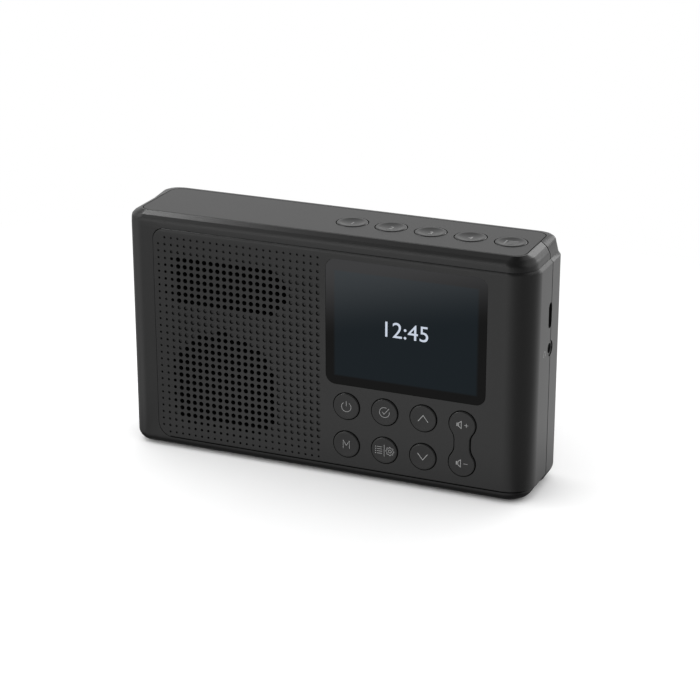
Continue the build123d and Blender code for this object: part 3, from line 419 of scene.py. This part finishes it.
# front panel: the frame's panel with every grille hole made round, and the blind holes between them
panelHoles = {
    "pitch": 2.5, "gridX": -31.5, "gridZ": 49.0, "columns": 12, "up": 12, "down": 17,
    "speaker": (-37.7, 25.4, 21.2), "slot": (-37.7, 64.0, 16.0, 8.75),
    "open": 1.69, "openEdge": (0.5, 0.58, 0.7), "openDepth": 2.5,
    "blind": 1.6, "blindEdge": (0.52, 0.6, 0.72, 0.88), "blindDepth": 0.55, "sides": 16,
    "topLift": 0.2, "topRound": 0.3, "lowRound": 0.5, "roundSteps": 3,
    "sameLevel": 0.1, "facesUp": 0.9, "facesOut": 0.3,
}


def gridHoles(look):
    # (x, z, diameter, open) for every place of the grid, smaller towards the left, top and bottom
    holes = []
    speakerX, speakerZ, field = look["speaker"]
    slotX, slotZ, half, end = look["slot"]
    for column in range(-look["columns"], look["columns"] + 1):
        for row in range(-look["up"], look["down"] + 1):
            if column == -look["columns"] and row in (-look["up"], look["down"]):
                continue  # the two left corners are bare
            x = look["gridX"] + look["pitch"] * column
            z = look["gridZ"] - look["pitch"] * row
            isOpen = (math.hypot(x - speakerX, z - speakerZ) < field
                      or math.hypot(max(abs(x - slotX) - half, 0), z - slotZ) < end)
            rank = min(column + look["columns"], row + look["up"], look["down"] - row)
            edge = look["openEdge"] if isOpen else look["blindEdge"]
            size = (look["open"] if isOpen else look["blind"]) * (edge[rank] if rank < len(edge) else 1)
            holes.append((x, z, size, isOpen))
    return holes


def roundEdge(panel, end, size, look):
    # the outer edge at one end of the panel, top or bottom, softly rounded
    mesh = panel.data
    sides = {}
    for face in mesh.polygons:
        for key in face.edge_keys:
            sides.setdefault(key, []).append(face.normal.copy())
    level = end(v.co.z for v in mesh.vertices)
    for group in (mesh.vertices, mesh.polygons):
        group.foreach_set("select", [False] * len(group))
    for edge in mesh.edges:
        spot = (mesh.vertices[edge.vertices[0]].co + mesh.vertices[edge.vertices[1]].co) / 2
        flat = any(abs(n.z) > look["facesUp"] for n in sides[edge.key])
        outward = any(abs(n.z) < look["facesOut"] and n.x * spot.x + n.y * spot.y > 0 for n in sides[edge.key])
        edge.select = flat and outward and abs(spot.z - level) < look["sameLevel"] * mm
    makeActive(panel)
    bpy.context.tool_settings.mesh_select_mode = (False, True, False)
    bpy.ops.object.mode_set(mode="EDIT")
    bpy.ops.mesh.bevel(offset=size * mm, segments=look["roundSteps"], affect="EDGES", clamp_overlap=True)
    bpy.ops.object.mode_set(mode="OBJECT")


def buildPanel(look):
    panel = copyNode("front_panel")
    top = max(v.co.z for v in panel.data.vertices)
    for vertex in panel.data.vertices:
        # a closer fit under the rim
        if top - vertex.co.z < look["sameLevel"] * mm:
            vertex.co.z += look["topLift"] * mm
    roundEdge(panel, max, look["topRound"], look)
    roundEdge(panel, min, look["lowRound"], look)
    pins = {}
    cutters = []
    for x, z, size, isOpen in gridHoles(look):
        key = (round(size, 4), isOpen)
        if key not in pins:
            depth = look["openDepth"] if isOpen else look["blindDepth"]
            clearSelection()
            bpy.ops.mesh.primitive_cylinder_add(vertices=look["sides"], radius=size / 2 * mm, depth=2 * depth * mm,
                                                rotation=(math.pi / 2, 0, 0))
            pins[key] = bpy.context.object
            bakePlace(pins[key])
        pin = pins[key].copy()
        pin.data = pins[key].data.copy()
        pin.location = (x * mm, frontY, z * mm)
        bpy.context.collection.objects.link(pin)
        cutters.append(pin)
    for pin in pins.values():
        bpy.data.objects.remove(pin)
    cutFrom(panel, joinPieces(cutters))
    smoothFaces(panel)
    standFor(panel, "front_panel")
    print("front panel:", len(cutters), "holes,", len(panel.data.polygons), "faces")


buildPanel(panelHoles)

# rim above the panel: it rolls back gently to a crease, and a flat bevel goes from there to the top plate
# rows in millimetres below the top: the frame's own, and where each one goes
rimShape = {
    "rows": ((0, 0), (0.152, 0.73), (0.586, 1.35), (1.235, 2.17), (2.0, 2.55), (2.9, 2.87), (3.8, 3.26),
             (4.7, 3.81), (5.6, 5.6)),
    "cuts": (2.9, 3.8, 4.7), "crease": 1.35, "creaseWithin": 0.01, "seam": 4.25, "fadeTo": 12.25,
    "facesDown": -0.1, "facesBack": 0.9,
}


def shapeRim(skin, look):
    # only the outer skin moves, and less and less from the seam to the back corners
    mesh = skin.data
    top = max(v.co.z for v in mesh.vertices)
    makeActive(skin)
    bpy.ops.object.mode_set(mode="EDIT")
    for level in look["cuts"]:
        bpy.ops.mesh.select_all(action="SELECT")
        bpy.ops.mesh.bisect(plane_co=(0, 0, top - level * mm), plane_no=(0, 0, 1))
    bpy.ops.object.mode_set(mode="OBJECT")
    outer = set()
    for face in mesh.polygons:
        way, spot = face.normal, face.center
        outward = way.x * spot.x + way.y * spot.y > 0 and way.z > look["facesDown"]
        inSeam = way.y > look["facesBack"] and spot.y < look["fadeTo"] * mm
        if outward and not inSeam:
            outer.update(face.vertices)
    for number in outer:
        vertex = mesh.vertices[number]
        level = (top - vertex.co.z) / mm
        fade = (look["fadeTo"] - vertex.co.y / mm) / (look["fadeTo"] - look["seam"])
        for (start, low), (end, high) in zip(look["rows"], look["rows"][1:]):
            if start < level <= end:
                goal = low + (high - low) * (level - start) / (end - start)
                vertex.co.z -= (goal - level) * min(max(fade, 0), 1) * mm
                break
    atCrease = [abs((top - v.co.z) / mm - look["crease"]) < look["creaseWithin"] for v in mesh.vertices]
    return [edge.index for edge in mesh.edges if all(atCrease[number] for number in edge.vertices)]


# the outer mouldings and the keys, with even shading
rimmed = ["front_shell", "rear_cover"]
for name in rimmed + ["top_panel", "volume_rocker"] + [n for n in nodes if n.endswith("_button")]:
    skin = copyNode(name)
    smoothFaces(skin, shapeRim(skin, rimShape) if name in rimmed else ())
    standFor(skin, name)
print("mouldings smoothed")

# case screws: a cross recess in each head
screwCross = {"arm": 2.6, "wide": 0.55, "deep": 0.7, "headWithin": 0.05, "upperFrom": 25}


def buildScrews(look):
    screws = copyNode("case_screws")
    headY = boxOf("case_screws")[1].y
    spots = {}
    for vertex in screws.data.vertices:
        if vertex.co.y > headY - look["headWithin"] * mm:
            corner = (vertex.co.x > 0, vertex.co.z > look["upperFrom"] * mm)
            spots.setdefault(corner, []).append(vertex.co.copy())
    bars = []
    for points in spots.values():
        x = (min(p.x for p in points) + max(p.x for p in points)) / 2
        z = (min(p.z for p in points) + max(p.z for p in points)) / 2
        for wide, high in ((look["arm"], look["wide"]), (look["wide"], look["arm"])):
            clearSelection()
            bpy.ops.mesh.primitive_cube_add(size=1, location=(x, headY, z))
            bar = bpy.context.object
            bar.scale = (wide * mm, 2 * look["deep"] * mm, high * mm)
            bakePlace(bar)
            bars.append(bar)
    for bar in bars:
        cutFrom(screws, bar)
    smoothFaces(screws)
    standFor(screws, "case_screws")
    print("case screws:", len(spots))


buildScrews(screwCross)


def arcLine(x, y, radius, start, end, count=24):
    angles = [math.radians(start + (end - start) * i / count) for i in range(count + 1)]
    return [(x + radius * math.cos(a), y + radius * math.sin(a)) for a in angles]


mitreLimit = 0.4


def penStroke(points, width):
    # closed outline of an open line drawn with a pen of this width
    path = [Vector(p) for p in points]
    left, right = [], []
    for i, spot in enumerate(path):
        before = (spot - path[i - 1]).normalized() if i else (path[1] - spot).normalized()
        after = (path[i + 1] - spot).normalized() if i + 1 < len(path) else before
        along = (before + after).normalized()
        side = Vector((-along.y, along.x)) * (width / 2 / max(along.dot(before), mitreLimit))
        left.append(spot + side)
        right.append(spot - side)
    return [tuple(p) for p in left + right[::-1]]


def roundLoop(x, y, radius, count=28):
    return arcLine(x, y, radius, 0, 360, count)[:-1]


def gearLoop(x, y, outer, inner, teeth):
    # each tooth from root to tip and back, in parts of a tooth's share of the circle
    loop = []
    for tooth in range(teeth):
        for part, radius in ((-0.32, inner), (-0.18, outer), (0.18, outer), (0.32, inner)):
            angle = 2 * math.pi * (tooth + part) / teeth
            loop.append((x + radius * math.cos(angle), y + radius * math.sin(angle)))
    return loop


def speakerLoops(x, y):
    # a small loudspeaker: its magnet, its horn and the inside of the horn
    shapes = ([(-1.2, -0.6), (-0.85, -0.6), (-0.85, 0.6), (-1.2, 0.6)],
              [(-0.6, -0.65), (0.55, -1.5), (0.55, 1.5), (-0.6, 0.65)],
              [(-0.38, -0.54), (0.35, -1.1), (0.35, 1.1), (-0.38, 0.54)])
    return [[(x + a, y + b) for a, b in shape] for shape in shapes]


# marks on the keys, in millimetres from each key's centre
pen, finePen, arrowPen, signPen, listPen = 0.15, 0.14, 0.21, 0.22, 0.3
menuRows = (1.2, 0.4, -0.4, -1.2)
listRows = (1.5, 0.5, -0.5, -1.5)
plusSign = [penStroke([(0.8, 0), (2.2, 0)], pen), penStroke([(1.5, -0.7), (1.5, -pen / 2)], pen),
            penStroke([(1.5, pen / 2), (1.5, 0.7)], pen)]
keyMarks = {
    "power": [penStroke(arcLine(0, -0.15, 1.75, 125, 415), pen), penStroke([(0, 0.1), (0, 1.95)], pen)],
    "confirm": [penStroke(arcLine(0, 0, 1.8, 62, 372), pen),
                penStroke([(-0.85, 0.15), (-0.15, -0.7), (1.7, 1.6)], pen)],
    "up": [penStroke([(-1.8, -1.15), (0, 1.15), (1.8, -1.15)], arrowPen)],
    "down": [penStroke([(-1.8, 1.15), (0, -1.15), (1.8, 1.15)], arrowPen)],
    "mode": [penStroke([(-1.15, -1.5), (-1.15, 1.45), (0, -0.4), (1.15, 1.45), (1.15, -1.5)], pen)],
    "menu": [penStroke([(-2.6, y), (-0.8, y)], pen) for y in menuRows]
            + [roundLoop(-3.1, y, 0.17, 10) for y in menuRows]
            + [penStroke([(0, -2.2), (0, 2.2)], finePen), gearLoop(2.1, 0, 1.6, 1.3, 8),
               gearLoop(2.1, 0, 1.42, 1.12, 8), roundLoop(2.1, 0, 0.62), roundLoop(2.1, 0, 0.46)],
}
# each mark of the rocker is level with a key of this name
rockerMarks = {"louder": ("power", speakerLoops(-0.75, 0) + plusSign),
               "softer": ("mode", speakerLoops(-0.75, 0) + plusSign[:1])}
listMark = ([penStroke([(-1.2, y), (2.2, y)], listPen) for y in listRows]
            + [roundLoop(-2.0, y, 0.3, 12) for y in listRows])
headphoneMark = {"place": (-1.6, 50.4),
                 "loops": [penStroke(arcLine(0, 0, 0.95, -20, 200, 16), signPen),
                           [(-1.1, -0.95), (-0.65, -0.95), (-0.65, -0.1), (-1.1, -0.1)],
                           [(0.65, -0.95), (1.1, -0.95), (1.1, -0.1), (0.65, -0.1)]]}
inkFilm = {"lift": 0.012, "thickness": 0.03, "standOff": 2}
digits = {"key": 2.5, "clock": 5.6, "sizePerHeight": 1.4}


def flatMark(loops):
    # closed outlines filled as one flat shape, facing +Z
    curve = bpy.data.curves.new("mark", "CURVE")
    curve.dimensions = "2D"
    curve.fill_mode = "BOTH"
    for loop in loops:
        line = curve.splines.new("POLY")
        line.points.add(len(loop) - 1)
        for point, (x, y) in zip(line.points, loop):
            point.co = (x * mm, y * mm, 0, 1)
        line.use_cyclic_u = True
    obj = bpy.data.objects.new("mark", curve)
    bpy.context.collection.objects.link(obj)
    return obj


def digitMark(text, height):
    clearSelection()
    bpy.ops.object.text_add()
    obj = bpy.context.object
    obj.data.body = text
    obj.data.align_x = "CENTER"
    obj.data.align_y = "CENTER"
    obj.data.size = height * digits["sizePerHeight"] * mm
    return obj


def printOn(mark, name, place, turn, axis, node, ink):
    # the flat mark is laid on the node's own surface and given the thickness of a film
    mark.location = place
    mark.rotation_euler = turn
    makeActive(mark)
    bpy.ops.object.convert(target="MESH")
    mark = bpy.context.object
    bakePlace(mark)
    wrap = mark.modifiers.new("wrap", "SHRINKWRAP")
    wrap.target = nodes[node]
    wrap.wrap_method = "PROJECT"
    wrap.wrap_mode = "ABOVE_SURFACE"
    wrap.use_negative_direction = True
    wrap.use_positive_direction = True
    setattr(wrap, "use_project_" + axis, True)
    wrap.offset = inkFilm["lift"] * mm
    film = mark.modifiers.new("film", "SOLIDIFY")
    film.thickness = inkFilm["thickness"] * mm
    film.offset = -1
    applyAll(mark)
    finishPiece(mark, name, bodyOf[node], ink)


facingFront = (math.pi / 2, 0, 0)
facingRight = (math.pi / 2, 0, math.pi / 2)
frontOff, rightOff, topOff = [edge + side * inkFilm["standOff"] * mm
                              for edge, side in ((frontY, -1), (rightX, 1), (topZ, 1))]
for key, loops in keyMarks.items():
    spot = middleOf(key + "_button")
    printOn(flatMark(loops), key + "Mark", (spot.x, frontOff, spot.z), facingFront, "y", key + "_button", inkPale)
for key, (level, loops) in rockerMarks.items():
    spot = (middleOf("volume_rocker").x, frontOff, middleOf(level + "_button").z)
    printOn(flatMark(loops), key + "Mark", spot, facingFront, "y", "volume_rocker", inkPale)
for number in range(1, 6):
    # the fifth key has a small list in place of a digit
    mark = digitMark(str(number), digits["key"]) if number < 5 else flatMark(listMark)
    node = "preset_%d_button" % number
    spot = middleOf(node)
    printOn(mark, "preset%dMark" % number, (spot.x, spot.y, topOff), (0, 0, 0), "z", node, inkGrey)
signY, signZ = headphoneMark["place"]
printOn(flatMark(headphoneMark["loops"]), "headphoneMark", (rightOff, signY * mm, signZ * mm), facingRight, "x",
        "front_panel", inkPale)
clockX, clockZ = lensLook["centre"]
printOn(digitMark("12:45", digits["clock"]), "displayClock", (clockX * mm, frontOff, clockZ * mm), facingFront, "y",
        "display_lens", litPixels)
print("marks printed")

# pale floor, soft studio light, camera at the photo's angle
# metres, but the camera's place and the floor's fibre in millimetres; each painted shade close to the foot, seen only
# in reflections, is (reach, level) round the footprint
frontLeft, frontRight = (-0.074, -0.016, 0), (0.074, -0.016, 0)
studio = {
    "floor": ("#f6f6f6", "#fafafa"), "floorSize": 6, "floorFibre": 40, "floorRough": 0.9,
    # the painted shade close to the foot stands in for the contact shadow that reflections show
    "foot": (0.0744, 0.016, 0), "shadowOut": (0.05, 0.25), "near": ((0.04, 0.6), (0.003, 0.15)),
    # painted shade on the floor towards some sides, seen only in reflections
    "floorDims": (
        {"corner": frontRight, "side": (0.92, -0.39, 0.0), "from": 0.1, "to": 0.9, "level": 0.35},
        {"corner": frontLeft, "side": (-0.75, 0.66, 0.0), "from": 0.3, "to": 0.9, "level": 0.4},
        {"corner": frontLeft, "side": (-0.386, -0.92, 0.0), "from": 0.88, "to": 1.0, "level": 0.6},
    ),
    "world": 1.2, "worldDim": {"side": (0.25, -0.97, 0.0), "from": 0.2, "to": 0.8, "level": 0.03},
    "upperFrom": 0.45, "upperTo": 0.8, "upper": 0.8,
    "camera": (271.92, -640.96, 303.40), "azimuth": 22.71, "elevation": 20.68, "lens": 110.3, "sensor": 36,
    "lamps": {
        "aboveLeft": {"place": (-0.122, -0.07, 0.177), "aim": (-0.066, -0.0145, 0.0865), "size": (0.04, 0.04),
                      "power": 0.056},
        "leftFront": {"place": (-1.1, -1.0, 0.7), "aim": (0, 0, 0.04), "size": (0.9, 0.9), "power": 3.5},
        "lowFront": {"place": (-0.43, -1.12, 0.09), "aim": (0, 0, 0.07), "size": (0.5, 0.1), "power": 1.0},
        "rightBack": {"place": (0.5, 1.25, 0.55), "aim": (0, 0, 0.08), "size": (0.6, 0.6), "power": 3},
    },
}


def dimmed(tree, source, output, look):
    # how bright the room is towards each side, as the skin of the object mirrors it
    way = addNode(tree, "ShaderNodeVectorMath", {"operation": "NORMALIZE"}, {0: (source, output)})
    side = addNode(tree, "ShaderNodeVectorMath", {"operation": "DOT_PRODUCT", 1: look["side"]}, {0: (way, "Vector")})
    return addNode(tree, "ShaderNodeMapRange", {"interpolation_type": "SMOOTHSTEP", "From Min": look["from"],
                                                "From Max": look["to"], "To Min": 1.0, "To Max": look["level"]},
                   {"Value": (side, "Value")})


def buildFloor(look):
    # paper sweep: white to the eye, with a soft shadow close to the object, and painted shade that only reflections
    # show
    clearSelection()
    bpy.ops.mesh.primitive_plane_add(size=look["floorSize"])
    floor = bpy.context.object
    floor.name = "floor"
    material, tree, shader, coords = startMaterial("paperSweep")
    fibre = addNode(tree, "ShaderNodeTexNoise", {"Scale": perMm(look["floorFibre"]), "Detail": 2.0},
                    {"Vector": (coords, "Object")})
    dark, pale = [hexColour(c) for c in look["floor"]]
    tone = addNode(tree, "ShaderNodeMix", {"data_type": "RGBA", 6: dark, 7: pale}, {"Factor": (fibre, "Fac")})
    tree.links.new(tone.outputs[2], shader.inputs["Base Color"])
    shader.inputs["Roughness"].default_value = look["floorRough"]
    ray = addNode(tree, "ShaderNodeLightPath")
    # distance from the footprint
    spread = addNode(tree, "ShaderNodeVectorMath", {"operation": "ABSOLUTE"}, {0: (coords, "Object")})
    past = addNode(tree, "ShaderNodeVectorMath", {"operation": "SUBTRACT", 1: look["foot"]}, {0: (spread, "Vector")})
    clear = addNode(tree, "ShaderNodeVectorMath", {"operation": "MAXIMUM", 1: (0, 0, 0)}, {0: (past, "Vector")})
    away = addNode(tree, "ShaderNodeVectorMath", {"operation": "LENGTH"}, {0: (clear, "Vector")})
    shadowFrom, shadowTo = look["shadowOut"]
    eyeShare = addNode(tree, "ShaderNodeMapRange", {"From Min": shadowFrom, "From Max": shadowTo},
                       {"Value": (away, "Value")})
    # what the object mirrors: painted shade close to its foot, where the contact shadow falls, and painted shade
    # towards some sides
    paintedShades = [addNode(tree, "ShaderNodeMapRange", {"From Min": 0.0, "From Max": reach, "To Min": level},
                      {"Value": (away, "Value")}) for reach, level in look["near"]]
    # each side's painted shade darkens what reflections see
    for dim in look["floorDims"]:
        corner = addNode(tree, "ShaderNodeVectorMath", {"operation": "SUBTRACT", 1: dim["corner"]},
                         {0: (coords, "Object")})
        paintedShades.append(dimmed(tree, corner, "Vector", dim))
    room, level = paintedShades[0], "Result"
    for shade in paintedShades[1:]:
        room = addNode(tree, "ShaderNodeMath", {"operation": "MULTIPLY"}, {0: (room, level), 1: (shade, "Result")})
        level = "Value"
    # glossy rays see the painted shade, other rays see white
    seen = addNode(tree, "ShaderNodeMix", {"data_type": "FLOAT", 2: 1.0},
                   {"Factor": (ray, "Is Glossy Ray"), 3: (room, level)})
    whiteOrPaintedShade = addNode(tree, "ShaderNodeEmission", {}, {"Strength": (seen, 0)})
    mirror = addNode(tree, "ShaderNodeMath", {"operation": "MAXIMUM"},
                     {0: (ray, "Is Glossy Ray"), 1: (ray, "Is Transmission Ray")})
    share = addNode(tree, "ShaderNodeMath", {"operation": "MULTIPLY_ADD"},
                    {0: (ray, "Is Camera Ray"), 1: (eyeShare, "Result"), 2: (mirror, "Value")})
    blend = addNode(tree, "ShaderNodeMixShader", {}, {0: (share, "Value"), 1: (shader, 0), 2: (whiteOrPaintedShade, 0)})
    tree.links.new(blend.outputs[0], tree.nodes["Material Output"].inputs["Surface"])
    floor.data.materials.append(material)


def buildWorld(look):
    # white to the eye, and dimmer in front and overhead as the object mirrors it
    world = bpy.data.worlds.new("softRoom")
    world.use_nodes = True
    tree = world.node_tree
    sky = tree.nodes["Background"]
    sky.inputs["Color"].default_value = (1, 1, 1, 1)
    ray = addNode(tree, "ShaderNodeLightPath")
    coords = addNode(tree, "ShaderNodeTexCoord")
    room = dimmed(tree, coords, "Generated", look["worldDim"])
    axes = addNode(tree, "ShaderNodeSeparateXYZ", {}, {"Vector": (coords, "Generated")})
    upper = addNode(tree, "ShaderNodeMapRange", {"interpolation_type": "SMOOTHSTEP", "From Min": look["upperFrom"],
                                                 "From Max": look["upperTo"], "To Min": 1.0, "To Max": look["upper"]},
                    {"Value": (axes, "Z")})
    mirrored = addNode(tree, "ShaderNodeMath", {"operation": "MULTIPLY"}, {0: (room, "Result"), 1: (upper, "Result")})
    seen = addNode(tree, "ShaderNodeMath", {"operation": "MAXIMUM"},
                   {0: (ray, "Is Camera Ray"), 1: (ray, "Is Transmission Ray")})
    plain = addNode(tree, "ShaderNodeMapRange", {"To Min": look["world"], "To Max": 1.0}, {"Value": (seen, "Value")})
    level = addNode(tree, "ShaderNodeMix", {"data_type": "FLOAT"},
                    {"Factor": (ray, "Is Glossy Ray"), 2: (plain, "Result"), 3: (mirrored, "Value")})
    tree.links.new(level.outputs[0], sky.inputs["Strength"])
    bpy.context.scene.world = world


def buildStudio(look):
    buildFloor(look)
    buildWorld(look)
    for name, lamp in look["lamps"].items():
        data = bpy.data.lights.new(name, "AREA")
        data.shape = "RECTANGLE"
        data.size, data.size_y = lamp["size"]
        data.energy = lamp["power"]
        obj = bpy.data.objects.new(name, data)
        obj.location = lamp["place"]
        obj.rotation_euler = (Vector(lamp["aim"]) - obj.location).to_track_quat("-Z", "Y").to_euler()
        obj.visible_camera = False
        bpy.context.collection.objects.link(obj)
    data = bpy.data.cameras.new("photoCamera")
    data.lens = look["lens"]
    data.sensor_width = look["sensor"]
    camera = bpy.data.objects.new("photoCamera", data)
    camera.location = [v * mm for v in look["camera"]]
    camera.rotation_euler = (math.radians(90 - look["elevation"]), 0, math.radians(look["azimuth"]))
    bpy.context.collection.objects.link(camera)
    bpy.context.scene.camera = camera
    bpy.context.scene.view_settings.view_transform = "Standard"
    print("studio ready")


buildStudio(studio)
